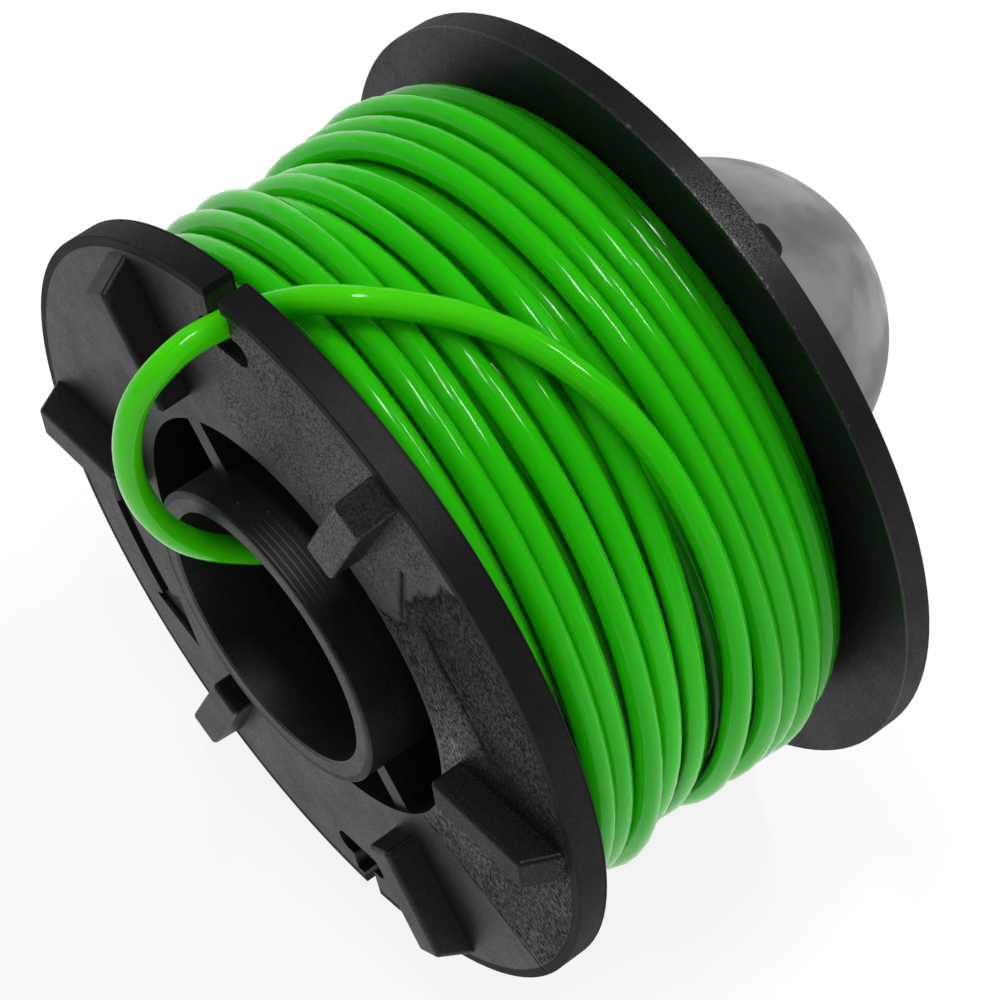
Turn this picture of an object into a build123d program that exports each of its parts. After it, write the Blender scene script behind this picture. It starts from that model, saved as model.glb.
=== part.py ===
# Trimmer line spool for a tap-feed cutting head: moulded spool, tap knob, wound line and its free end.
# The spool's axis is Y, and the near flange looks along -Y. The origin is on the axis, level with
# that flange's rim. Angles turn in the XZ plane from +X towards +Z. Sizes are in millimetres.
import os
from math import cos, radians, sin, tan

from build123d import *

os.makedirs("parts", exist_ok=True)

# Flanges and the space for the line between them
FLANGE_DIA = 60.0
NEAR_FLANGE = 2.4
FAR_FLANGE = 2.2
LINE_SPACE = 26.4
RIM_ROUND = 0.12
FACE_RISE = 0.35

# Hollow drum, and the tube inside it that turns on the head's spindle
DRUM_DIA = 36.0
DRUM_WALL = 1.9
TUBE_DIA = 23.6
SPINDLE_BORE = 20.2
TUBE_PROUD = 3.0
TUBE_CHAMFER = 0.15
SPIGOT_DIA = 22.8
SPIGOT_LENGTH = 5.0
RIB_WIDTH = 1.8
RIB_ANGLE = 133.0

# Stop lugs on both flanges
LUG_COUNT = 6
LUG_PHASE = 8.6
LUG_INNER_RADIUS = 18.2
LUG_OUTER_RADIUS = 27.4
LUG_SLOPE = 1.5
LUG_WIDTH = 2.8
NEAR_LUG_HEIGHT = 2.7
NEAR_LUG_ROUND = 0.35
FAR_LUG_HEIGHT = 2.0
FAR_LUG_ROUND = 0.9

# Sunk arrow on the near face that shows which way the line is wound
ARROW_RADIUS = 24.4
ARROW_WIDTH = 2.0
ARROW_HEAD = 4.6
ARROW_TAIL_ANGLE = 200.0
ARROW_NECK_ANGLE = 226.0
ARROW_TIP_ANGLE = 237.0
ARROW_DEPTH = 0.3

# Line slits in the near flange, each with a narrow mouth at the rim and a wider eye at its inner end
SLIT_COUNT = 2
SLIT_ANGLE = 103.0
SLIT_WIDTH = 2.4
MOUTH_WIDTH = 1.7
MOUTH_DEPTH = 1.1
EYE_RADIUS = 26.2
EYE_LENGTH = 5.4
EYE_WIDTH = 2.0

# Tap knob, a hemispherical cap on the tube's spigot
KNOB_WALL = 1.55
KNOB_SKIRT = 6.4
KNOB_CLEARANCE = 0.05
KNOB_EDGE = 0.5

# Wound line: layers of turns, of which some in the top layer lie lower between their neighbours
LINE_DIA = 2.0
LAYER_PITCH = 1.7
LAYERS = 5
TURNS_PER_LAYER = 13
LOW_TURNS = (0, 5, 7, 12)
LOW_TURN_DROP = 0.9
VALLEY_DEPTH = 0.75

# Free end of the line over the winding: lift off the low turn it leaves, angle, place along Y
TAIL_ON_WINDING = (
    (0.03, 9.0, 17.7),
    (0.53, 19.0, 17.8),
    (0.86, 37.5, 18.0),
    (1.4, 56.0, 17.2),
    (1.6, 70.5, 15.2),
    (1.05, 83.5, 12.1),
    (2.3, 94.7, 5.6),
)
# Free end through the slit and in an arch over the near face, short of the tube's mouth: X, Y, Z
TAIL_BEHIND_SLIT = 3.7
TAIL_SLIT_RADIUS = 26.7
TAIL_OVER_FACE = (
    (-6.5, -3.4, 27.4),
    (-7.5, -6.3, 22.8),
    (-7.5, -7.1, 18.0),
    (-7.2, -6.8, 12.3),
    (-6.8, -5.6, 8.95),
)

near_back = NEAR_FLANGE
far_front = near_back + LINE_SPACE
far_face = far_front + FAR_FLANGE
flange_radius = FLANGE_DIA / 2
drum_radius = DRUM_DIA / 2
drum_inside = drum_radius - DRUM_WALL
tube_radius = TUBE_DIA / 2
bore_radius = SPINDLE_BORE / 2
spigot_radius = SPIGOT_DIA / 2
spigot_end = far_face + SPIGOT_LENGTH
lug_foot = LUG_OUTER_RADIUS + LUG_SLOPE
lug_step = 360 / LUG_COUNT
slit_length = flange_radius - MOUTH_DEPTH - EYE_RADIUS
top_turn_centre = drum_radius + LINE_DIA / 2 + (LAYERS - 1) * LAYER_PITCH

# Plane of the near flange's rim, with its normal pointing out of the spool
near_plane = Plane(origin=(0, 0, 0), x_dir=(1, 0, 0), z_dir=(0, -1, 0))


def around_axis(radius, angle, along):
    """Point at a radius and an angle from the spool's axis."""
    return Vector(radius * cos(radians(angle)), along, radius * sin(radians(angle)))


def face_point(radius, angle):
    """Point at a radius and an angle in a sketch on the near face."""
    return (radius * cos(radians(angle)), radius * sin(radians(angle)))


def stop_lug(height, rounding):
    """One lug of the near flange, on +X, with a sloping outer end and its foot inside the flange."""
    with BuildPart() as lug:
        with BuildSketch(Plane.XY):
            with BuildLine():
                Polyline(
                    (LUG_INNER_RADIUS, NEAR_FLANGE / 2),
                    (LUG_INNER_RADIUS, -height),
                    (LUG_OUTER_RADIUS, -height),
                    (lug_foot, 0),
                    (lug_foot, NEAR_FLANGE / 2),
                    close=True,
                )
            make_face()
        extrude(amount=LUG_WIDTH / 2, both=True)
        outside_edges = lug.edges().filter_by(lambda edge: edge.bounding_box().min.Y < -0.01)
        fillet(outside_edges, rounding)
    return lug.part


near_lug = stop_lug(NEAR_LUG_HEIGHT, NEAR_LUG_ROUND)
far_lug = stop_lug(FAR_LUG_HEIGHT, FAR_LUG_ROUND).mirror(Plane.XZ).moved(Location((0, far_face, 0)))

# Spool body: flanges, drum and tube turned as one section
with BuildPart() as spool_body:
    with BuildSketch(Plane.XY) as section:
        with BuildLine():
            Polyline(
                (bore_radius, -TUBE_PROUD),
                (tube_radius, -TUBE_PROUD),
                (tube_radius, far_front),
                (drum_inside, far_front),
                (drum_inside, -FACE_RISE),
                (flange_radius, 0),
                (flange_radius, near_back),
                (drum_radius, near_back),
                (drum_radius, far_front),
                (flange_radius, far_front),
                (flange_radius, far_face),
                (spigot_radius, far_face),
                (spigot_radius, spigot_end),
                (bore_radius, spigot_end),
                close=True,
            )
        make_face()
        rim_corners = section.vertices().group_by(Axis.X)[-1]
        fillet(rim_corners, RIM_ROUND)
        mouth_corners = section.vertices().group_by(Axis.Y)[0]
        chamfer(mouth_corners, TUBE_CHAMFER)
    revolve(axis=Axis.Y)

    # Ribs that tie the tube to the drum
    with BuildSketch(near_plane):
        with PolarLocations((tube_radius + drum_inside) / 2, 2, start_angle=RIB_ANGLE):
            Rectangle(drum_inside - tube_radius + DRUM_WALL, RIB_WIDTH)
    extrude(amount=-far_front)

    # Stop lugs
    for lug in range(LUG_COUNT):
        lug_angle = LUG_PHASE + lug * lug_step
        add(near_lug, rotation=(0, -lug_angle, 0))
        add(far_lug, rotation=(0, -lug_angle, 0))

    # Arrow: an arc from its tail to its neck, and a pointed head
    with BuildSketch(near_plane.offset(-ARROW_DEPTH)):
        with BuildLine():
            outer_arc = CenterArc(
                (0, 0), ARROW_RADIUS + ARROW_WIDTH / 2, ARROW_TAIL_ANGLE, ARROW_NECK_ANGLE - ARROW_TAIL_ANGLE
            )
            inner_arc = CenterArc(
                (0, 0), ARROW_RADIUS - ARROW_WIDTH / 2, ARROW_TAIL_ANGLE, ARROW_NECK_ANGLE - ARROW_TAIL_ANGLE
            )
            head_outside = Line(outer_arc @ 1, face_point(ARROW_RADIUS + ARROW_HEAD / 2, ARROW_NECK_ANGLE))
            head_inside = Line(inner_arc @ 1, face_point(ARROW_RADIUS - ARROW_HEAD / 2, ARROW_NECK_ANGLE))
            Line(head_outside @ 1, face_point(ARROW_RADIUS, ARROW_TIP_ANGLE))
            Line(head_inside @ 1, face_point(ARROW_RADIUS, ARROW_TIP_ANGLE))
            Line(outer_arc @ 0, inner_arc @ 0)
        make_face()
    extrude(amount=ARROW_DEPTH + FACE_RISE, mode=Mode.SUBTRACT)

    # Slits that let the line out through the near flange
    with BuildSketch(Plane.XZ.offset(TUBE_PROUD)):
        with PolarLocations(EYE_RADIUS, SLIT_COUNT, start_angle=SLIT_ANGLE):
            with Locations((slit_length / 2, 0)):
                Rectangle(slit_length, SLIT_WIDTH)
            with Locations((slit_length + MOUTH_DEPTH, (SLIT_WIDTH - MOUTH_WIDTH) / 2)):
                Rectangle(2 * MOUTH_DEPTH, MOUTH_WIDTH)
            SlotOverall(EYE_LENGTH, EYE_WIDTH, rotation=90)
    extrude(amount=-(TUBE_PROUD + near_back), mode=Mode.SUBTRACT)

spool_body.part.label = "spool_body"
export_step(spool_body.part, "parts/spool_body.step")

# Tap knob: a hemisphere on a plain skirt that slides over the spigot and stands on the far flange
with BuildPart() as bump_knob:
    socket_radius = spigot_radius + KNOB_CLEARANCE
    knob_radius = socket_radius + KNOB_WALL
    dome_centre = far_face + KNOB_SKIRT
    with BuildSketch(Plane.XY):
        with BuildLine():
            dome_line = Polyline(
                (socket_radius, dome_centre),
                (socket_radius, far_face),
                (knob_radius - KNOB_EDGE, far_face),
                (knob_radius, far_face + KNOB_EDGE),
                (knob_radius, dome_centre),
            )
            outer = CenterArc((0, dome_centre), knob_radius, 0, 90)
            inner = CenterArc((0, dome_centre), socket_radius, 0, 90)
            Line(outer @ 1, inner @ 1)
        make_face()
    revolve(axis=Axis.Y)

bump_knob.part.label = "bump_knob"
export_step(bump_knob.part, "parts/bump_knob.step")


def tail_route():
    """Corner points of the line's free end, from the winding to its cut end before the tube."""
    seat = top_turn_centre - LOW_TURN_DROP + LINE_DIA
    points = [around_axis(seat + lift, angle, along) for lift, angle, along in TAIL_ON_WINDING]
    points.append(around_axis(TAIL_SLIT_RADIUS, SLIT_ANGLE, TAIL_BEHIND_SLIT))
    points.extend(Vector(point) for point in TAIL_OVER_FACE)
    return points


def bend_radii(points):
    """Radius for each inner corner: as large as the shorter of its two runs allows."""
    radii = []
    for before, corner, after in zip(points, points[1:], points[2:]):
        shorter = min((corner - before).length, (after - corner).length)
        turn = (corner - before).get_angle(after - corner)
        radii.append(0.45 * shorter / tan(radians(turn / 2)))
    return radii


# Free end of the line
tail_points = tail_route()
tail_radii = bend_radii(tail_points)
with BuildPart() as line_tail:
    with BuildLine() as tail_line:
        FilletPolyline(*tail_points, radius=tail_radii)
    with BuildSketch(Plane(origin=tail_line.line @ 0, z_dir=tail_line.line % 0)):
        Circle(LINE_DIA / 2)
    sweep(path=tail_line.line)

line_tail.part.label = "line_tail"
export_step(line_tail.part, "parts/line_tail.step")
print("bend radii", [round(radius, 1) for radius in tail_radii])
print("tail length", round(tail_line.wires()[0].length, 1), "volume", round(line_tail.part.volume, 1))


def turn_top(turn):
    """Outer radius of one turn of the top layer."""
    drop = LOW_TURN_DROP if turn in LOW_TURNS else 0
    return top_turn_centre + LINE_DIA / 2 - drop


# Winding: all turns as one ring, with the top layer's turns as ridges
with BuildPart() as line_winding:
    turn_pitch = LINE_SPACE / TURNS_PER_LAYER
    with BuildSketch(Plane.XY):
        with BuildLine():
            corner = (drum_radius, near_back)
            for turn in range(TURNS_PER_LAYER):
                start = near_back + turn * turn_pitch
                top = turn_top(turn)
                foot = top - VALLEY_DEPTH
                if foot != corner[0]:
                    Line(corner, (foot, start))
                corner = (foot, start + turn_pitch)
                ThreePointArc((foot, start), (top, start + turn_pitch / 2), corner)
            Polyline(corner, (drum_radius, far_front), (drum_radius, near_back))
        make_face()
    revolve(axis=Axis.Y)

line_winding.part.label = "line_winding"
export_step(line_winding.part, "parts/line_winding.step")
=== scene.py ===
"""Dresses the trimmer line spool: moulded body, tap knob, wound cutting line and studio stage."""

from math import cos, degrees, radians, sin

import bmesh
import bpy
from mathutils import Matrix, Vector


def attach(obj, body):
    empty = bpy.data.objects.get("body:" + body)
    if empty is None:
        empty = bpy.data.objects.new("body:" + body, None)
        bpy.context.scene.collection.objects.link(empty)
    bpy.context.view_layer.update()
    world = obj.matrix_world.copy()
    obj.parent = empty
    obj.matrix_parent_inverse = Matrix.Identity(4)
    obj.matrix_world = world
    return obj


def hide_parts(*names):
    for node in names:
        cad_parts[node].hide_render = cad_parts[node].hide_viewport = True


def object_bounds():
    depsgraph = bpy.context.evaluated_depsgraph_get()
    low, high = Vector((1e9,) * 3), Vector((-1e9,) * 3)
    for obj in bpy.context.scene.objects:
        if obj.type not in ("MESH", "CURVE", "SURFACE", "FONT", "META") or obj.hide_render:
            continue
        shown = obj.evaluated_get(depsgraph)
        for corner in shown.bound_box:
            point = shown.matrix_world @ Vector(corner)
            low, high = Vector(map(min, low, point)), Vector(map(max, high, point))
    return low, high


bl_info = {
    "name": "Trimmer Line Spool",
    "version": (1, 0, 0),
    "blender": (4, 5, 0),
    "location": "View3D > Sidebar > Spool",
    "description": "Finishes a trimmer line spool and winds its line",
    "category": "Object",
}

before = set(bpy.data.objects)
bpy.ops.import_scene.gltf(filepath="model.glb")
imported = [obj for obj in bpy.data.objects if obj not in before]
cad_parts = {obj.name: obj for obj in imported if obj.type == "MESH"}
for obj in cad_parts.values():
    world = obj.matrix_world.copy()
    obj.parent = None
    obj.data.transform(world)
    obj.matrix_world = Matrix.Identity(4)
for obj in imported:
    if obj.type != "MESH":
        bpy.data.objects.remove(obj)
CAD_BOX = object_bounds()
BODY = "root"
MM = 0.001

# Space for the line on the drum, in millimetres along the axis and from it
NEAR_FLANGE_BACK = 2.4
FAR_FLANGE_FRONT = 28.8
DRUM_RADIUS = 18.0

# Full layers under the top one: how many, turns in each, millimetres from one to the next, and the
# control points in which the line climbs to the next one
FULL_LAYERS = 4
TURNS_PER_LAYER = 13
LAYER_PITCH = 1.78
CLIMB_POINTS = 5

# Top layer. At these angles each turn has these places along the axis, and lies this much below
# the top radius, in millimetres
TURN_ANGLES = (-10, 20, 50, 80, 110, 135, 160)
TURN_PLACES = (
    (3.5, 3.7, 4.1, 4.7, 5.5, 5.9, 5.9),
    (5.3, 5.4, 5.9, 6.7, 7.7, 8.1, 8.0),
    (7.1, 7.2, 7.7, 8.6, 9.9, 10.7, 10.7),
    (9.0, 9.6, 10.6, 11.1, 11.8, 12.3, 12.2),
    (11.2, 11.9, 12.9, 13.6, 13.9, 13.7, 13.2),
    (13.6, 14.2, 15.5, 16.4, 16.4, 15.4, 14.2),
    (20.1, 20.0, 19.9, 19.9, 19.8, 18.7, 16.4),
    (21.8, 21.8, 21.8, 21.9, 21.8, 21.0, 18.9),
    (23.6, 23.5, 23.6, 23.8, 23.9, 23.3, 21.6),
    (25.6, 25.6, 25.7, 26.0, 26.3, 26.0, 24.6),
)
TURN_DEPTHS = (
    (0.7, 0.7, 0.7, 0.7, 0.7, 0.7, 0.7),
    (0.1, 0.1, 0.1, 0.1, 0.1, 0.1, 0.1),
    (0.4, 0.4, 0.3, 0.2, 0.0, 0.0, 0.0),
    (-0.1, 0.0, 0.0, 0.3, 1.0, 1.5, 1.6),
    (0.8, 0.5, 0.1, 0.1, 0.1, 0.5, 1.3),
    (0.9, 0.6, 0.1, 0.1, 0.2, 0.9, 1.6),
    (0.0, 0.0, 0.0, 0.0, 0.0, 0.0, 0.4),
    (0.1, 0.1, 0.1, 0.1, 0.1, 0.1, 0.1),
    (0.0, 0.0, 0.0, -0.2, -0.3, -0.3, -0.2),
    (0.8, 0.8, 0.7, 0.6, 0.4, 0.3, 0.3),
)
TOP_RADIUS = 26.2
# The whole winding bulges to one side
BULGE = 0.3
BULGE_ANGLE = 145

# The last turn crosses back over its neighbours: radius, angle, place along the axis
CROSSING = (
    (26.2, 185, 22.8),
    (27.3, 210, 20.9),
    (27.9, 235, 19.1),
    (27.2, 260, 17.7),
    (26.4, 285, 16.8),
    (26.0, 310, 16.3),
    (26.0, 335, 16.4),
    (26.2, 352, 16.5),
)
# Free end over the winding, in the same way, and then through the slit and into the tube: X, Y, Z
TAIL_ON_WINDING = (
    (26.6, 8, 16.8),
    (27.1, 22, 17.3),
    (27.7, 38, 17.6),
    (28.3, 56, 17.1),
    (28.5, 70.5, 15.2),
    (27.95, 83.5, 12.1),
    (29.2, 94.7, 5.6),
    (26.7, 103, 3.7),
)
TAIL_OVER_FACE = (
    (-6.4, 0.4, 26.5),
    (-6.7, -2.1, 26.5),
    (-6.7, -4.5, 25.7),
    (-7.1, -6.3, 23.5),
    (-7.3, -7.2, 20.3),
    (-7.5, -7.4, 16.5),
    (-7.5, -6.9, 12.3),
    (-7.2, -5.6, 8.0),
    (-6.6, -3.7, 4.7),
    (-6.1, -1.4, 2.4),
    (-6.1, 1.0, 0.0),
    (-6.4, 3.4, -2.8),
)


class SpoolLineSettings(bpy.types.PropertyGroup):
    """Cutting line."""

    diameter: bpy.props.FloatProperty(
        name="Diameter",
        description="Diameter of the cutting line",
        default=0.002,
        min=0.0005,
        unit="LENGTH",
    )
    length: bpy.props.FloatProperty(
        name="Length",
        description="Length of line on the spool",
        default=8.8,
        min=0.1,
        unit="LENGTH",
    )
    points_per_turn: bpy.props.IntProperty(
        name="Points per turn",
        description="Control points in each turn of line",
        default=16,
        min=12,
    )
    colour: bpy.props.FloatVectorProperty(
        name="Colour",
        description="Colour of the line",
        default=(0.013, 0.34, 0.0015),
        size=3,
        subtype="COLOR",
    )
    # Painted light: lighter colour where a strand lies free and catches more light
    painted_lit_colour: bpy.props.FloatVectorProperty(
        name="Single strand",
        description="Colour where one strand lies free",
        default=(0.045, 0.41, 0.002),
        size=3,
        subtype="COLOR",
    )
    # Painted glow: lighter colour in the crevices between the turns, standing in for light through the
    # nylon
    painted_glow_colour: bpy.props.FloatVectorProperty(
        name="Glow",
        description="Colour between the turns",
        default=(0.018, 0.45, 0.002),
        size=3,
        subtype="COLOR",
    )
    # Painted shade: darker colour low down among the turns on the shaded side and by the far flange
    painted_shade_colour: bpy.props.FloatVectorProperty(
        name="Deep",
        description="Colour low down and by the far flange",
        default=(0.003, 0.09, 0.0004),
        size=3,
        subtype="COLOR",
    )


class SpoolMouldingSettings(bpy.types.PropertyGroup):
    """Moulded pieces."""

    body_colour: bpy.props.FloatVectorProperty(
        name="Body",
        description="Colour of the spool body",
        default=(0.005, 0.005, 0.0055),
        size=3,
        subtype="COLOR",
    )
    dust_colour: bpy.props.FloatVectorProperty(
        name="Dust",
        description="Colour of dust on the body",
        default=(0.22, 0.22, 0.23),
        size=3,
        subtype="COLOR",
    )
    shine: bpy.props.FloatProperty(
        name="Shine",
        description="Strength of the black plastic's shine",
        default=0.69,
        min=0.0,
        max=1.0,
    )
    knob_colour: bpy.props.FloatVectorProperty(
        name="Knob",
        description="Colour of the tap knob",
        default=(0.15, 0.15, 0.158),
        size=3,
        subtype="COLOR",
    )


class SpoolStageSettings(bpy.types.PropertyGroup):
    """Floor, lights and camera."""

    floor_colour: bpy.props.FloatVectorProperty(
        name="Floor",
        description="Colour of the floor",
        default=(0.93, 0.93, 0.93),
        size=3,
        subtype="COLOR",
    )
    floor_white: bpy.props.FloatProperty(
        name="Floor white",
        description="Share of plain white in the floor as it is seen",
        default=0.85,
        min=0.0,
        max=1.0,
    )
    sky_strength: bpy.props.FloatProperty(
        name="Sky",
        description="Strength of the light from all round",
        default=0.75,
        min=0.0,
    )
    horizon: bpy.props.FloatProperty(
        name="Horizon",
        description="Brightness of the horizon in reflections",
        default=0.5,
        min=0.0,
    )
    ceiling: bpy.props.FloatProperty(
        name="Ceiling",
        description="Brightness of the ceiling in reflections",
        default=0.15,
        min=0.0,
    )
    lamp_power: bpy.props.FloatProperty(
        name="Lamps",
        description="Power of each softbox",
        default=0.85,
        min=0.0,
        unit="POWER",
    )
    azimuth: bpy.props.FloatProperty(
        name="Azimuth",
        description="Camera's direction round the spool",
        default=radians(50.57),
        subtype="ANGLE",
    )
    elevation: bpy.props.FloatProperty(
        name="Elevation",
        description="Camera's height over the horizon",
        default=radians(55.89),
        subtype="ANGLE",
    )
    distance: bpy.props.FloatProperty(
        name="Distance",
        description="Camera's distance from its aim",
        default=0.25,
        min=0.01,
        unit="LENGTH",
    )
    lens: bpy.props.FloatProperty(
        name="Lens",
        description="Focal length",
        default=136.97,
        min=1.0,
        unit="CAMERA",
    )


def round_axis(radius, angle, along):
    """Point in metres at a radius and an angle from the spool's axis, from millimetres and degrees."""
    turn = radians(angle)
    return Vector((radius * cos(turn), along, radius * sin(turn))) * MM


def mix_at(angle, angles, values):
    """Value at an angle, in a straight line between the two listed angles beside it."""
    for i in range(len(angles) - 1):
        if angle <= angles[i + 1]:
            share = (angle - angles[i]) / (angles[i + 1] - angles[i])
            return values[i] + (values[i + 1] - values[i]) * share
    return values[-1]


# Nodes are laid out in columns: nodes in a column, and the steps across and down
NODE_ROWS = 12
NODE_STEP = (220, -280)


def add_node(tree, kind, **settings):
    """Next node of a tree, with its settings and, by name, its unlinked inputs."""
    column, row = divmod(len(tree.nodes), NODE_ROWS)
    node = tree.nodes.new(kind)
    node.location = (column * NODE_STEP[0], row * NODE_STEP[1])
    for name, value in settings.items():
        if hasattr(node, name):
            setattr(node, name, value)
        else:
            node.inputs[name.replace("_", " ").title()].default_value = value
    return node


def feed(tree, socket, value):
    """Gives an input a constant, or a link from another node's output."""
    if isinstance(value, bpy.types.NodeSocket):
        tree.links.new(value, socket)
    else:
        socket.default_value = value


def new_material(name):
    """Material with its node tree and a shader on its output."""
    material = bpy.data.materials.new(name)
    material.use_nodes = True
    tree = material.node_tree
    tree.nodes.clear()
    shader = add_node(tree, "ShaderNodeBsdfPrincipled")
    output = add_node(tree, "ShaderNodeOutputMaterial")
    feed(tree, output.inputs["Surface"], shader.outputs["BSDF"])
    return material, tree, shader


def use_material(obj, material):
    """Makes the material the only one on an object."""
    obj.data.materials.clear()
    obj.data.materials.append(material)


def set_finish(shader, finish):
    """Sets a shader's own sockets to values that are the same all over."""
    for name, value in finish.items():
        shader.inputs[name].default_value = value


def opaque(colour):
    """Colour with full alpha."""
    return (*colour, 1)


def enabled_sockets(sockets):
    """Sockets that a node uses in its present mode."""
    return [socket for socket in sockets if socket.enabled]


def calculate(tree, operation, *values, kind="ShaderNodeMath"):
    """Result of a Math or Vector Math node on constants and outputs."""
    node = add_node(tree, kind, operation=operation)
    for socket, value in zip(enabled_sockets(node.inputs), values):
        feed(tree, socket, value)
    return enabled_sockets(node.outputs)[0]


def calculate_vector(tree, operation, *values):
    """Result of a Vector Math node."""
    return calculate(tree, operation, *values, kind="ShaderNodeVectorMath")


def product(tree, first, *others):
    """Product of several outputs and constants."""
    for other in others:
        first = calculate(tree, "MULTIPLY", first, other)
    return first


def ramp(tree, value, low, high, start=0.0, end=1.0):
    """Smooth change from start to end while a value goes from low to high."""
    node = add_node(tree, "ShaderNodeMapRange", interpolation_type="SMOOTHSTEP")
    limits = {"From Min": low, "From Max": high, "To Min": start, "To Max": end}
    for name, given in {"Value": value, **limits}.items():
        feed(tree, node.inputs[name], given)
    return node.outputs["Result"]


def blend(tree, share, first, second, kind="RGBA"):
    """Mix of two colours, or of two values where the kind is FLOAT."""
    node = add_node(tree, "ShaderNodeMix", data_type=kind)
    for socket, value in zip(enabled_sockets(node.inputs), (share, first, second)):
        feed(tree, socket, value)
    return enabled_sockets(node.outputs)[0]


def noise(tree, coordinates, scale, detail, roughness):
    """Noise from 0 to 1, with its scale per unit of the coordinates."""
    node = add_node(tree, "ShaderNodeTexNoise", detail=detail, roughness=roughness)
    feed(tree, node.inputs["Vector"], coordinates)
    feed(tree, node.inputs["Scale"], scale)
    return node.outputs["Fac"]


def coordinates_of(tree, name):
    """Texture coordinates of the surface."""
    return add_node(tree, "ShaderNodeTexCoord").outputs[name]


def stretched(tree, coordinates, **settings):
    """Coordinates turned and stretched by a Mapping node."""
    node = add_node(tree, "ShaderNodeMapping", **settings)
    feed(tree, node.inputs["Vector"], coordinates)
    return node.outputs["Vector"]


def use_group(tree, name, **values):
    """Copy of a node group in a tree, with its inputs set by name."""
    group = bpy.data.node_groups.get(name) or NODE_GROUPS[name](name)
    node = add_node(tree, "ShaderNodeGroup", node_tree=group)
    for key, value in values.items():
        feed(tree, node.inputs[key.title()], value)
    return node


def new_group(name, inputs, outputs):
    """Empty node group with its sockets, and its input and output nodes."""
    tree = bpy.data.node_groups.new(name, "ShaderNodeTree")
    for socket, kind in inputs.items():
        tree.interface.new_socket(socket, in_out="INPUT", socket_type=kind)
    for socket in outputs:
        tree.interface.new_socket(socket, in_out="OUTPUT", socket_type="NodeSocketFloat")
    return tree, add_node(tree, "NodeGroupInput"), add_node(tree, "NodeGroupOutput")


# Noise of the specks, and how far above the threshold a speck is whole
SPECK_NOISE = (2.0, 0.6)
SPECK_EDGE = 0.03
# Noise that bends the streaks
STREAK_NOISE = {"scale": 900.0, "detail": 3.0}
MIDDLE_GREY = (0.5, 0.5, 0.5)


def specks_group(name):
    """Node group: specks where a noise is above a threshold."""
    sockets = {"Scale": "NodeSocketFloat", "Threshold": "NodeSocketFloat"}
    tree, given, result = new_group(name, sockets, ("Mask",))
    low = given.outputs["Threshold"]
    cloud = noise(tree, coordinates_of(tree, "Object"), given.outputs["Scale"], *SPECK_NOISE)
    high = calculate(tree, "ADD", low, SPECK_EDGE)
    feed(tree, result.inputs["Mask"], ramp(tree, cloud, low, high))
    return tree


def round_axis_group(name):
    """Node group: radius and place along the spool's axis in millimetres, and angle in degrees."""
    tree, _, result = new_group(name, {}, ("Radius", "Angle", "Along"))
    split = add_node(tree, "ShaderNodeSeparateXYZ")
    feed(tree, split.inputs["Vector"], coordinates_of(tree, "Object"))
    x, y, z = (product(tree, side, 1 / MM) for side in split.outputs)
    squares = (product(tree, side, side) for side in (x, z))
    both = calculate(tree, "ADD", *squares)
    turned = calculate(tree, "ARCTAN2", z, x)
    feed(tree, result.inputs["Radius"], calculate(tree, "SQRT", both))
    feed(tree, result.inputs["Angle"], product(tree, turned, degrees(1)))
    feed(tree, result.inputs["Along"], y)
    return tree


def streak_group(name):
    """Node group: a wandering streak between two points, in millimetres."""
    sockets = {"Start": "NodeSocketVector", "End": "NodeSocketVector"}
    sockets.update({"Width": "NodeSocketFloat", "Wander": "NodeSocketFloat"})
    tree, given, result = new_group(name, sockets, ("Mask",))
    start, end = given.outputs["Start"], given.outputs["End"]
    place = coordinates_of(tree, "Object")
    cloud = add_node(tree, "ShaderNodeTexNoise", **STREAK_NOISE)
    feed(tree, cloud.inputs["Vector"], place)
    aside = calculate_vector(tree, "SUBTRACT", cloud.outputs["Color"], MIDDLE_GREY)
    moved = calculate_vector(tree, "SCALE", aside, given.outputs["Wander"])
    here = calculate_vector(tree, "ADD", calculate_vector(tree, "SCALE", place, 1 / MM), moved)
    reach = calculate_vector(tree, "SUBTRACT", here, start)
    run = calculate_vector(tree, "SUBTRACT", end, start)
    along = calculate_vector(tree, "DOT_PRODUCT", reach, run)
    whole = calculate_vector(tree, "DOT_PRODUCT", run, run)
    share = calculate(tree, "DIVIDE", along, whole)
    share.node.use_clamp = True
    nearest = calculate_vector(tree, "SCALE", run, share)
    away = calculate_vector(tree, "DISTANCE", reach, nearest)
    half = product(tree, given.outputs["Width"], 0.5)
    feed(tree, result.inputs["Mask"], ramp(tree, away, 0.0, half, 1.0, 0.0))
    return tree


NODE_GROUPS = {
    "Specks": specks_group,
    "Round Axis": round_axis_group,
    "Streak": streak_group,
}

# Noises of the black plastic: scale per metre, detail and roughness
GRAIN = (5600.0, 4.0, 0.75)
FINE_GRAIN = (9000.0, 3.0, 0.7)
CLOUDS = (260.0, 4.0, 0.6)
RAGGED = (600.0, 3.0, 0.6)
FIBRES = (8000.0, 4.0, 0.75)
FIBRE_STRETCH = {
    "vector_type": "TEXTURE",
    "rotation": (0.0, radians(49.5), 0.0),
    "scale": (2.6, 1.0, 1.0),
}
DUST = {"scale": 1000.0, "threshold": 0.79}
CHIPS = {"scale": 1700.0, "threshold": 0.6}
GRAIN_BUMP = {"strength": 0.3, "distance": 0.00006}
BODY_FINISH = {"Coat Roughness": 0.43, "Coat IOR": 1.6, "Specular IOR Level": 0.0}

# Ramps, here and below: the limits between which a value changes, and what it changes from and to.
# These give the shine for a value of noise
PATCHY_SHINE = (0.3, 0.7, 0.75, 1.25)
PLAIN_SHINE = (0.3, 0.7, 0.45, 1.55)
STIPPLED_SHINE = (0.42, 0.58, 0.15, 1.95)
TORN_SHINE = (0.45, 0.68, 0.02, 3.4)
TORN_LUG_SHINE = (0.55, 0.8, 0.25, 6.0)
SCUFFED_SHINE = (0.44, 0.64, 0.1, 6.0)
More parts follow.
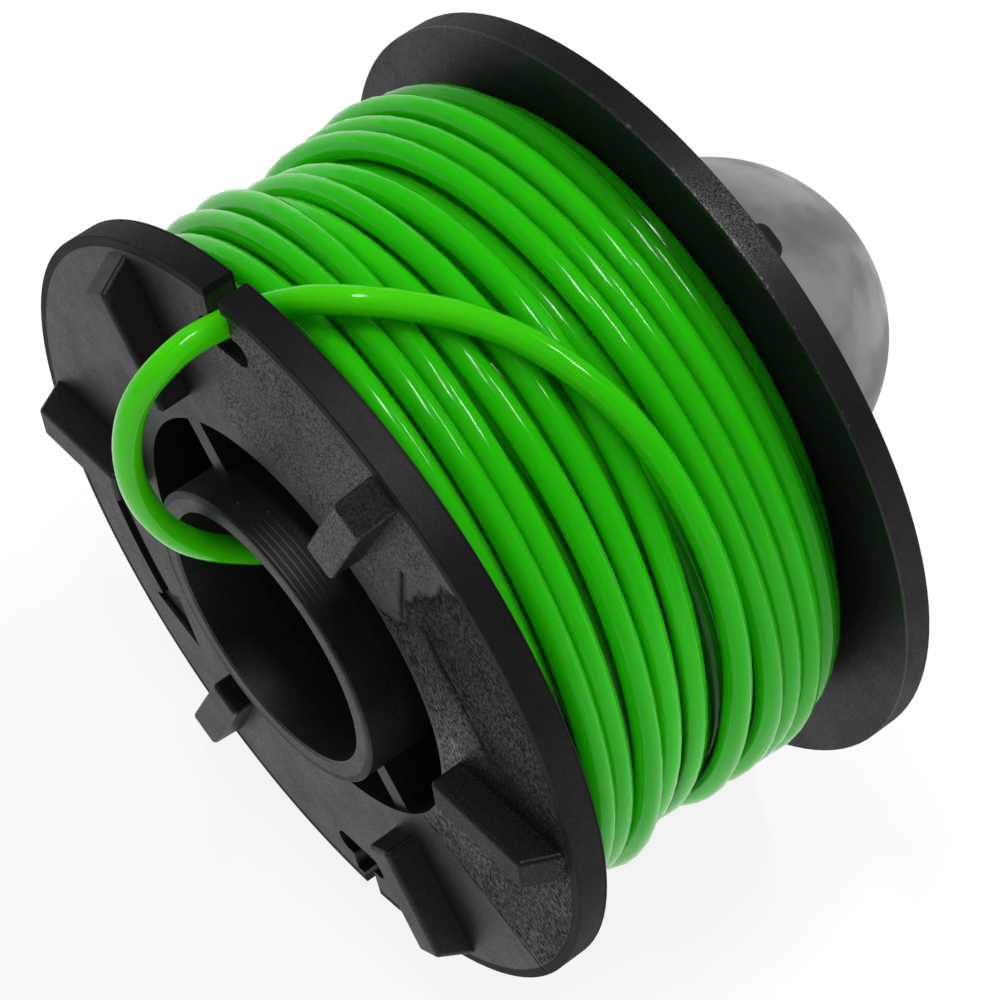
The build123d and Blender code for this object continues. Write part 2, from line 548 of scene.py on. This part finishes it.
# By place along the axis: strength of the scuffs, most at the rim's inner edge, and tops of the lugs
SCUFFED_ALONG = (28.8, 29.8, 1.8, 0.8)
LUG_TOP = (-0.5, -0.8)
# Shine added by turned lines and chips
PALE_SHINE = 5.0

# Marks on the near face: start and end in millimetres, width, wander and strength
FACE_MARKS = (
    ((12.3, -0.2, 20.1), (12.2, -0.2, 15.0), 1.3, 0.5, 1.0),
    ((14.6, -0.2, 15.9), (20.9, -0.2, 8.6), 2.4, 1.2, 1.0),
    ((15.4, -0.2, 16.8), (22.6, -0.2, 7.8), 5.0, 1.6, 0.65),
    ((14.1, -0.2, -8.4), (26.7, 0.0, -13.1), 0.7, 0.7, 1.0),
)
# Surfaces with another shine: radii, places along the axis in millimetres, and share of the shine.
# A share below 1 dulls the shine as painted shade, on the rims, in the recess, between the flanges,
# behind the far flange and outside of the tube; the share above 1 inside the tube is a painted
# reflection
SHADE_AND_REFLECTION_ZONES = {
    "near rim": ((29.2, 31.0), (-1.0, 2.3), 0.12),
    "far rim": ((29.5, 31.0), (28.9, 31.2), 0.26),
    "behind the far flange": ((0.0, 40.0), (31.1, 60.0), 0.05),
    "between the flanges": ((0.0, 40.0), (2.1, 28.85), 0.15),
    "recess": ((20.0, 27.6), (0.06, 2.2), 0.4),
    "inside the tube": ((0.0, 10.25), (-4.0, 25.0), 2.1),
    "outside of the tube": ((11.2, 12.4), (-4.0, -0.3), 0.4),
}
# Patches with a rougher finish: radii and places along the axis in millimetres, angles in degrees
PATCHES = {
    "stippled": ((17.5, 29.2), (-4.0, 0.25), (54.0, 112.0)),
    "scuffed": ((29.5, 31.0), (28.7, 31.2), (63.0, 83.0)),
    "chipped": ((29.6, 31.0), (28.7, 29.1), (40.0, 100.0)),
}
ZONE_SOFTNESS = 0.1
ARC_SOFTNESS = 6.0

# Torn patch on the near face. Its upper end is ragged and dips beside one radius, and its lower end
# slopes outwards from the opening, in degrees and millimetres
TORN_TOP = 54.8
TORN_LIFT = 6.0
TORN_DIP_RADIUS = 18.8
TORN_DIP = (0.3, 3.0, -7.5, -3.0)
TORN_BOTTOM = -31.3
TORN_SLOPE = 0.42
OPENING_RADIUS = 16.1
TORN_UPPER_END = (0.0, 1.2)
TORN_LOWER_END = (0.0, 0.8)
TORN_INNER_EDGE = (15.9, 16.7)
TORN_OUTER_EDGE = (29.5, 29.2)
TORN_DEPTH = (0.6, 0.3)
# Its shine below the upper end, round the axis and outwards
TORN_FADE_DOWN = (1.0, 4.0, 0.2, 1.0)
TORN_FADE_ROUND = (8.0, 42.0, 1.0, 0.35)
TORN_FADE_OUT = (17.0, 25.0, 1.7, 0.6)

# Turned lines on the tube: radians per millimetre, crest of the wave, and the limits of the part
# that has them, by angle, radius and place along the axis
TUBE_WAVES = 13.0
TUBE_CREST = (0.75, 1.0)
TUBE_START = (60.0, 72.0)
TUBE_END = (98.0, 90.0)
TUBE_INNER = (11.5, 11.7)
TUBE_OUTER = (12.2, 12.0)
TUBE_PROUD = (-0.6, -1.0)


def between(tree, value, low, high, softness):
    """Mask of what lies between two limits, with soft ends."""
    start = ramp(tree, value, low, low + softness)
    return product(tree, start, ramp(tree, value, high, high - softness))


def zone_mask(tree, axis, radii, places):
    """Mask of what lies between two radii and between two places along the axis."""
    ring = between(tree, axis.outputs["Radius"], *radii, ZONE_SOFTNESS)
    return product(tree, ring, between(tree, axis.outputs["Along"], *places, ZONE_SOFTNESS))


def patch_mask(tree, axis, name):
    """Mask of a patch, which is a part of a zone between two angles."""
    radii, places, angles = PATCHES[name]
    arc = between(tree, axis.outputs["Angle"], *angles, ARC_SOFTNESS)
    return product(tree, zone_mask(tree, axis, radii, places), arc)


def torn_patch(tree, axis, place):
    """Mask of the torn patch, and how much its shine shows."""
    radius, angle = axis.outputs["Radius"], axis.outputs["Angle"]
    lift = product(tree, noise(tree, place, *RAGGED), TORN_LIFT)
    aside = calculate(tree, "SUBTRACT", radius, TORN_DIP_RADIUS)
    dip = ramp(tree, calculate(tree, "ABSOLUTE", aside), *TORN_DIP)
    top = calculate(tree, "ADD", lift, calculate(tree, "ADD", dip, TORN_TOP))
    below = calculate(tree, "SUBTRACT", top, angle)
    slope = product(tree, calculate(tree, "SUBTRACT", radius, OPENING_RADIUS), TORN_SLOPE)
    bottom = calculate(tree, "ADD", slope, TORN_BOTTOM)
    above = calculate(tree, "SUBTRACT", angle, bottom)
    mask = product(
        tree,
        ramp(tree, below, *TORN_UPPER_END),
        ramp(tree, above, *TORN_LOWER_END),
        ramp(tree, radius, *TORN_INNER_EDGE),
        ramp(tree, radius, *TORN_OUTER_EDGE),
        ramp(tree, axis.outputs["Along"], *TORN_DEPTH),
    )
    shown = product(
        tree,
        ramp(tree, below, *TORN_FADE_DOWN),
        ramp(tree, angle, *TORN_FADE_ROUND),
        ramp(tree, radius, *TORN_FADE_OUT),
    )
    return mask, shown


def tube_lines(tree, axis):
    """Mask of fine turned lines on a part of the tube's outside."""
    radius, angle, along = (axis.outputs[name] for name in ("Radius", "Angle", "Along"))
    waves = calculate(tree, "SINE", product(tree, along, TUBE_WAVES))
    return product(
        tree,
        ramp(tree, waves, *TUBE_CREST),
        ramp(tree, angle, *TUBE_START),
        ramp(tree, angle, *TUBE_END),
        ramp(tree, radius, *TUBE_INNER),
        ramp(tree, along, *TUBE_PROUD),
        ramp(tree, radius, *TUBE_OUTER),
    )


def face_marks(tree):
    """Mask of the dull streaks on the near face."""
    marks = 0.0
    for start, end, width, wander, strength in FACE_MARKS:
        streak = use_group(tree, "Streak", start=start, end=end, width=width, wander=wander)
        mask = product(tree, streak.outputs["Mask"], strength)
        marks = calculate(tree, "MAXIMUM", marks, mask)
    return marks


def body_shine(tree, place, grain):
    """Shine of the black plastic, 1 on a plain surface.

    It is stippled all over, rougher where the plastic is torn or scuffed, dull in the marks, duller in
    some zones as painted shade and shinier inside the tube as a painted reflection, and strong on
    turned lines and chips.
    """
    axis = use_group(tree, "Round Axis")
    along = axis.outputs["Along"]
    fine = noise(tree, place, *FINE_GRAIN)
    patchy = ramp(tree, noise(tree, place, *CLOUDS), *PATCHY_SHINE)
    fibres = noise(tree, stretched(tree, place, **FIBRE_STRETCH), *FIBRES)
    torn, torn_shown = torn_patch(tree, axis, place)
    torn_lug = product(tree, torn, ramp(tree, along, *LUG_TOP))
    scuffs = product(tree, ramp(tree, fine, *SCUFFED_SHINE), ramp(tree, along, *SCUFFED_ALONG))
    stippled = product(tree, ramp(tree, grain, *STIPPLED_SHINE), patchy)
    shine = product(tree, ramp(tree, grain, *PLAIN_SHINE), patchy)
    rougher = (
        (patch_mask(tree, axis, "stippled"), stippled),
        (torn, product(tree, ramp(tree, fibres, *TORN_SHINE), patchy, torn_shown)),
        (torn_lug, ramp(tree, grain, *TORN_LUG_SHINE)),
        (patch_mask(tree, axis, "scuffed"), scuffs),
    )
    for mask, other in rougher:
        shine = blend(tree, mask, shine, other, "FLOAT")
    shine = product(tree, shine, calculate(tree, "SUBTRACT", 1.0, face_marks(tree)))
    # Painted shade where a zone's share is below 1, painted reflection inside the tube
    for radii, places, share in SHADE_AND_REFLECTION_ZONES.values():
        mask = zone_mask(tree, axis, radii, places)
        shine = product(tree, shine, ramp(tree, mask, 0.0, 1.0, 1.0, share))
    specks = use_group(tree, "Specks", **CHIPS).outputs["Mask"]
    chips = product(tree, specks, patch_mask(tree, axis, "chipped"))
    for pale in (tube_lines(tree, axis), chips):
        shine = calculate(tree, "ADD", shine, product(tree, pale, PALE_SHINE))
    return shine


def moulded_black(settings):
    """Black moulded plastic with an uneven shine and a little dust."""
    material, tree, shader = new_material("moulded_black")
    place = coordinates_of(tree, "Object")
    grain = noise(tree, place, *GRAIN)
    weight = calculate(tree, "SQRT", body_shine(tree, place, grain))
    feed(tree, shader.inputs["Coat Weight"], product(tree, weight, settings.shine))
    set_finish(shader, BODY_FINISH)
    bump = add_node(tree, "ShaderNodeBump", **GRAIN_BUMP)
    feed(tree, bump.inputs["Height"], grain)
    for name in ("Normal", "Coat Normal"):
        feed(tree, shader.inputs[name], bump.outputs["Normal"])
    dust = use_group(tree, "Specks", **DUST).outputs["Mask"]
    tint = blend(tree, dust, opaque(settings.body_colour), opaque(settings.dust_colour))
    feed(tree, shader.inputs["Base Color"], tint)
    return material


# Mottle of the knob: noise, its limits, shares of the colour where dark and pale, and roughness
MOTTLE = (170.0, 3.0, 0.5)
MOTTLE_LIMITS = (0.34, 0.66)
MOTTLE_DARK = 0.68
MOTTLE_PALE = 1.28
MOTTLE_ROUGHNESS = (0.0, 1.0, 0.5, 0.36)


def satin_grey(settings):
    """Grey satin plastic of the tap knob, mottled."""
    material, tree, shader = new_material("satin_grey")
    clouds = noise(tree, coordinates_of(tree, "Object"), *MOTTLE)
    mottle = ramp(tree, clouds, *MOTTLE_LIMITS)
    dark, pale = (
        opaque(part * share for part in settings.knob_colour) for share in (MOTTLE_DARK, MOTTLE_PALE)
    )
    feed(tree, shader.inputs["Base Color"], blend(tree, mottle, dark, pale))
    feed(tree, shader.inputs["Roughness"], ramp(tree, mottle, *MOTTLE_ROUGHNESS))
    return material


# Ramps of the line's colour, which paint light and shade: radius where the free end lies off the
# winding, places along the axis where it is over the face or near the slit (painted light on the free
# strand), radii between the turns (painted glow) and low down among the turns, angles of the shaded
# side, and places by the far flange (painted shade)
OFF_WINDING = (27.7, 29.0)
OVER_FACE = (2.0, 0.0)
BY_SLIT = (9.0, 19.5, 1.0, 0.0)
BETWEEN_TURNS = (27.0, 26.1)
LOW_DOWN = (26.1, 25.0)
SHADED_SIDE = (70.0, 30.0)
BY_FAR_FLANGE = (23.8, 26.6, 0.0, 0.75)
# Drawn lines: stretch along the line's whole length and round it, noise and depth
DRAWN_LINES = (300.0, 60.0, 1.0)
DRAWN_NOISE = (1.0, 2.0, 0.5)
DRAWN_BUMP = {"strength": 0.35, "distance": 0.00002}
LINE_FINISH = {
    "Roughness": 0.11,
    "Specular IOR Level": 0.18,
    "Subsurface Weight": 1.0,
    "Subsurface Radius": (0.5, 1.0, 0.2),
    "Subsurface Scale": 0.005,
}


def line_colour(tree, settings):
    """Colour of the line: painted shade low down on the shaded side and by the far flange, painted
    glow between the turns, and painted light where a strand lies free.
    """
    axis = use_group(tree, "Round Axis")
    radius, angle, along = (axis.outputs[name] for name in ("Radius", "Angle", "Along"))
    # Painted light on a strand that lies free, near the slit or over the face
    free = product(tree, ramp(tree, radius, *OFF_WINDING), ramp(tree, along, *BY_SLIT))
    lit_share = calculate(tree, "MAXIMUM", free, ramp(tree, along, *OVER_FACE))
    # Painted shade low down on the shaded side and by the far flange
    low = product(tree, ramp(tree, radius, *LOW_DOWN), ramp(tree, angle, *SHADED_SIDE))
    dark = calculate(tree, "MAXIMUM", low, ramp(tree, along, *BY_FAR_FLANGE))
    colours = (settings.colour, settings.painted_glow_colour, settings.painted_shade_colour, settings.painted_lit_colour)
    plain, glow, shade, lit = (opaque(colour) for colour in colours)
    # Painted glow between the turns
    wound = blend(tree, ramp(tree, radius, *BETWEEN_TURNS), plain, glow)
    return blend(tree, lit_share, blend(tree, dark, wound, shade), lit)


def clear_green(settings):
    """Clear green nylon with drawn lines."""
    material, tree, shader = new_material("clear_green")
    feed(tree, shader.inputs["Base Color"], line_colour(tree, settings))
    drawn = stretched(tree, coordinates_of(tree, "UV"), scale=DRAWN_LINES)
    bump = add_node(tree, "ShaderNodeBump", **DRAWN_BUMP)
    feed(tree, bump.inputs["Height"], noise(tree, drawn, *DRAWN_NOISE))
    feed(tree, shader.inputs["Normal"], bump.outputs["Normal"])
    set_finish(shader, LINE_FINISH)
    return material


class SPOOL_OT_finish_body(bpy.types.Operator):
    """Gives the moulded body its black plastic"""

    bl_idname = "spool.finish_body"
    bl_label = "Finish Body"

    def execute(self, context):
        use_material(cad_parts["spool_body"], moulded_black(context.scene.spool_moulding))
        return {"FINISHED"}


class SPOOL_OT_finish_knob(bpy.types.Operator):
    """Gives the tap knob its satin grey"""

    bl_idname = "spool.finish_knob"
    bl_label = "Finish Knob"

    def execute(self, context):
        use_material(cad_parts["bump_knob"], satin_grey(context.scene.spool_moulding))
        return {"FINISHED"}


def turn_step(settings):
    """Degrees from one control point of a turn to the next, and how far outside the line they lie."""
    step = 360 / settings.points_per_turn
    return step, 1 / cos(radians(step / 2))


def layer_points(settings):
    """Control points of the full layers, wound from flange to flange and back."""
    half = settings.diameter / MM / 2
    first, last = NEAR_FLANGE_BACK + half, FAR_FLANGE_FRONT - half
    count = TURNS_PER_LAYER * settings.points_per_turn
    held = settings.points_per_turn // 2
    step, outwards = turn_step(settings)
    points = []
    for layer in range(FULL_LAYERS):
        start, end = (first, last) if layer % 2 == 0 else (last, first)
        for i in range(count):
            climb = min(i / CLIMB_POINTS, 1) - 1 if layer else 0
            radius = DRUM_RADIUS + half + (layer + climb) * LAYER_PITCH
            along = start + (end - start) * max(0, i - held) / (count - held)
            points.append(round_axis(radius * outwards, TURN_ANGLES[0] + i * step, along))
    return points


def top_points(settings):
    """Control points of the loose top layer, up to the crossing turn."""
    step, outwards = turn_step(settings)
    angles = (*TURN_ANGLES, TURN_ANGLES[0] + 360)
    under = DRUM_RADIUS + settings.diameter / MM / 2 + (FULL_LAYERS - 1) * LAYER_PITCH
    points = []
    for turn in range(len(TURN_PLACES)):
        following = min(turn + 1, len(TURN_PLACES) - 1)
        places = (*TURN_PLACES[turn], TURN_PLACES[following][0])
        depths = (*TURN_DEPTHS[turn], TURN_DEPTHS[following][0])
        for i in range(settings.points_per_turn):
            angle = TURN_ANGLES[0] + i * step
            if turn == following and angle > CROSSING[0][1] - step / 2:
                break
            bulge = BULGE * cos(radians(angle - BULGE_ANGLE))
            radius = TOP_RADIUS + bulge - mix_at(angle, angles, depths)
            if turn == 0:
                radius = under + (radius - under) * min(i / CLIMB_POINTS, 1)
            points.append(round_axis(radius * outwards, angle, mix_at(angle, angles, places)))
    return points


# Smoothness of the line from one control point to the next, and round its section
CURVE_STEPS = 4
SECTION_STEPS = 4


class SPOOL_OT_wind_line(bpy.types.Operator):
    """Winds the cutting line on the drum and leads its free end through the slit"""

    bl_idname = "spool.wind_line"
    bl_label = "Wind Line"

    def execute(self, context):
        settings = context.scene.spool_line
        route = layer_points(settings) + top_points(settings)
        route += [round_axis(*place) for place in CROSSING + TAIL_ON_WINDING]
        route += [Vector(place) * MM for place in TAIL_OVER_FACE]
        curve = bpy.data.curves.new("cutting_line", "CURVE")
        curve.dimensions = "3D"
        spline = curve.splines.new("NURBS")
        spline.points.add(len(route) - 1)
        for point, place in zip(spline.points, route):
            point.co = (*place, 1)
        spline.order_u = 3
        spline.use_endpoint_u = True
        curve.resolution_u = CURVE_STEPS
        curve.bevel_depth = settings.diameter / 2
        curve.bevel_resolution = SECTION_STEPS
        curve.use_fill_caps = True
        line = bpy.data.objects.new("cutting_line", curve)
        context.scene.collection.objects.link(line)
        use_material(line, clear_green(settings))
        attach(line, BODY)
        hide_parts("line_winding", "line_tail")
        return {"FINISHED"}


# Softboxes over the spool: direction from it, distance, and size across and along, in metres
SOFTBOXES = {
    "softbox_left": ((-0.08, -0.05, 1.0), 0.5, (0.15, 0.04)),
    "softbox_right": ((0.13, 0.45, 0.88), 0.5, (0.15, 0.04)),
}
CAMERA_AIM = Vector((8.65, 10.82, 13.86)) * MM
SENSOR_WIDTH = 36.0
NEAR_CLIP = 0.01
FLOOR_SIZE = 3.0
FLOOR_ROUGHNESS = 0.9
# Heights between which the sky goes from horizon to ceiling, as shares of straight up
SKY_RISE = (0.0, 0.5)


def seen_rays(tree):
    """1 for rays of the camera, of reflections and through clear things, 0 for light on surfaces."""
    path = add_node(tree, "ShaderNodeLightPath")
    camera, glossy = path.outputs["Is Camera Ray"], path.outputs["Is Glossy Ray"]
    seen = calculate(tree, "MAXIMUM", camera, glossy)
    return calculate(tree, "MAXIMUM", seen, path.outputs["Is Transmission Ray"])


class SPOOL_OT_set_stage(bpy.types.Operator):
    """Sets the floor, the lights and the camera"""

    bl_idname = "spool.set_stage"
    bl_label = "Set Stage"

    def execute(self, context):
        settings = context.scene.spool_stage
        self.lay_floor(context, settings)
        self.light_sky(context, settings)
        self.hang_softboxes(context, settings)
        self.place_camera(context, settings)
        context.scene.view_settings.view_transform = "Standard"
        return {"FINISHED"}

    def lay_floor(self, context, settings):
        """Pale floor under the flanges' rims."""
        shape = bmesh.new()
        height = Matrix.Translation((0, 0, CAD_BOX[0].z))
        half = FLOOR_SIZE / 2
        bmesh.ops.create_grid(shape, x_segments=1, y_segments=1, size=half, matrix=height)
        mesh = bpy.data.meshes.new("floor")
        shape.to_mesh(mesh)
        shape.free()
        floor = bpy.data.objects.new("floor", mesh)
        context.scene.collection.objects.link(floor)
        material, tree, shader = new_material("floor_paper")
        finish = {"Base Color": opaque(settings.floor_colour), "Roughness": FLOOR_ROUGHNESS}
        set_finish(shader, finish)
        glow = add_node(tree, "ShaderNodeEmission", strength=1.0)
        mixed = add_node(tree, "ShaderNodeMixShader")
        feed(tree, mixed.inputs["Fac"], product(tree, seen_rays(tree), settings.floor_white))
        feed(tree, mixed.inputs[1], shader.outputs["BSDF"])
        feed(tree, mixed.inputs[2], glow.outputs["Emission"])
        output = next(node for node in tree.nodes if node.type == "OUTPUT_MATERIAL")
        feed(tree, output.inputs["Surface"], mixed.outputs["Shader"])
        use_material(floor, material)

    def light_sky(self, context, settings):
        """Even light from all round, white to the camera and darker upwards in reflections."""
        world = bpy.data.worlds.new("studio")
        world.use_nodes = True
        context.scene.world = world
        tree = world.node_tree
        tree.nodes.clear()
        split = add_node(tree, "ShaderNodeSeparateXYZ")
        feed(tree, split.inputs["Vector"], coordinates_of(tree, "Generated"))
        up = split.outputs["Z"]
        mirrored = ramp(tree, up, *SKY_RISE, settings.horizon, settings.ceiling)
        lit = ramp(tree, seen_rays(tree), 0.0, 1.0, settings.sky_strength, mirrored)
        path = add_node(tree, "ShaderNodeLightPath")
        shown = ramp(tree, path.outputs["Is Camera Ray"], 0.0, 1.0, lit, 1.0)
        sky = add_node(tree, "ShaderNodeBackground")
        feed(tree, sky.inputs["Color"], opaque((1, 1, 1)))
        feed(tree, sky.inputs["Strength"], shown)
        output = add_node(tree, "ShaderNodeOutputWorld")
        feed(tree, output.inputs["Surface"], sky.outputs["Background"])

    def hang_softboxes(self, context, settings):
        """Two softboxes that draw the highlights on the line."""
        for name, (direction, distance, size) in SOFTBOXES.items():
            lamp = bpy.data.lights.new(name, "AREA")
            lamp.shape = "RECTANGLE"
            lamp.size, lamp.size_y = size
            lamp.energy = settings.lamp_power
            box = bpy.data.objects.new(name, lamp)
            away = Vector(direction).normalized()
            box.location = CAMERA_AIM + away * distance
            box.rotation_euler = away.to_track_quat("Z", "Y").to_euler()
            context.scene.collection.objects.link(box)

    def place_camera(self, context, settings):
        """Camera that looks down on the near flange and the winding."""
        data = bpy.data.cameras.new("camera")
        data.sensor_width = SENSOR_WIDTH
        data.lens = settings.lens
        data.clip_start = NEAR_CLIP
        camera = bpy.data.objects.new("camera", data)
        context.scene.collection.objects.link(camera)
        across, up = settings.azimuth, settings.elevation
        back = Vector((sin(across) * cos(up), -cos(across) * cos(up), sin(up)))
        right = Vector((cos(across), sin(across), 0))
        turned = Matrix((right, back.cross(right), back)).transposed().to_4x4()
        camera.matrix_world = Matrix.Translation(CAMERA_AIM + back * settings.distance) @ turned
        context.scene.camera = camera


PANEL_ROWS = {
    "spool_moulding": ("spool.finish_body", "spool.finish_knob"),
    "spool_line": ("spool.wind_line",),
    "spool_stage": ("spool.set_stage",),
}


class SPOOL_PT_panel(bpy.types.Panel):
    """Steps that dress the spool"""

    bl_idname = "SPOOL_PT_panel"
    bl_label = "Trimmer Line Spool"
    bl_space_type = "VIEW_3D"
    bl_region_type = "UI"
    bl_category = "Spool"

    def draw(self, context):
        layout = self.layout
        for group, steps in PANEL_ROWS.items():
            box = layout.box()
            settings = getattr(context.scene, group)
            for name in settings.bl_rna.properties.keys():
                if name not in ("rna_type", "name"):
                    box.prop(settings, name)
            for step in steps:
                box.operator(step)


SETTINGS = {
    "spool_line": SpoolLineSettings,
    "spool_moulding": SpoolMouldingSettings,
    "spool_stage": SpoolStageSettings,
}
CLASSES = (
    *SETTINGS.values(),
    SPOOL_OT_finish_body,
    SPOOL_OT_finish_knob,
    SPOOL_OT_wind_line,
    SPOOL_OT_set_stage,
    SPOOL_PT_panel,
)


def register():
    for cls in CLASSES:
        bpy.utils.register_class(cls)
    for name, cls in SETTINGS.items():
        setattr(bpy.types.Scene, name, bpy.props.PointerProperty(type=cls))


def unregister():
    for name in SETTINGS:
        delattr(bpy.types.Scene, name)
    for cls in reversed(CLASSES):
        bpy.utils.unregister_class(cls)


def main():
    register()
    bpy.ops.spool.finish_body()
    bpy.ops.spool.finish_knob()
    bpy.ops.spool.wind_line()
    bpy.ops.spool.set_stage()


if __name__ == "__main__":
    main()
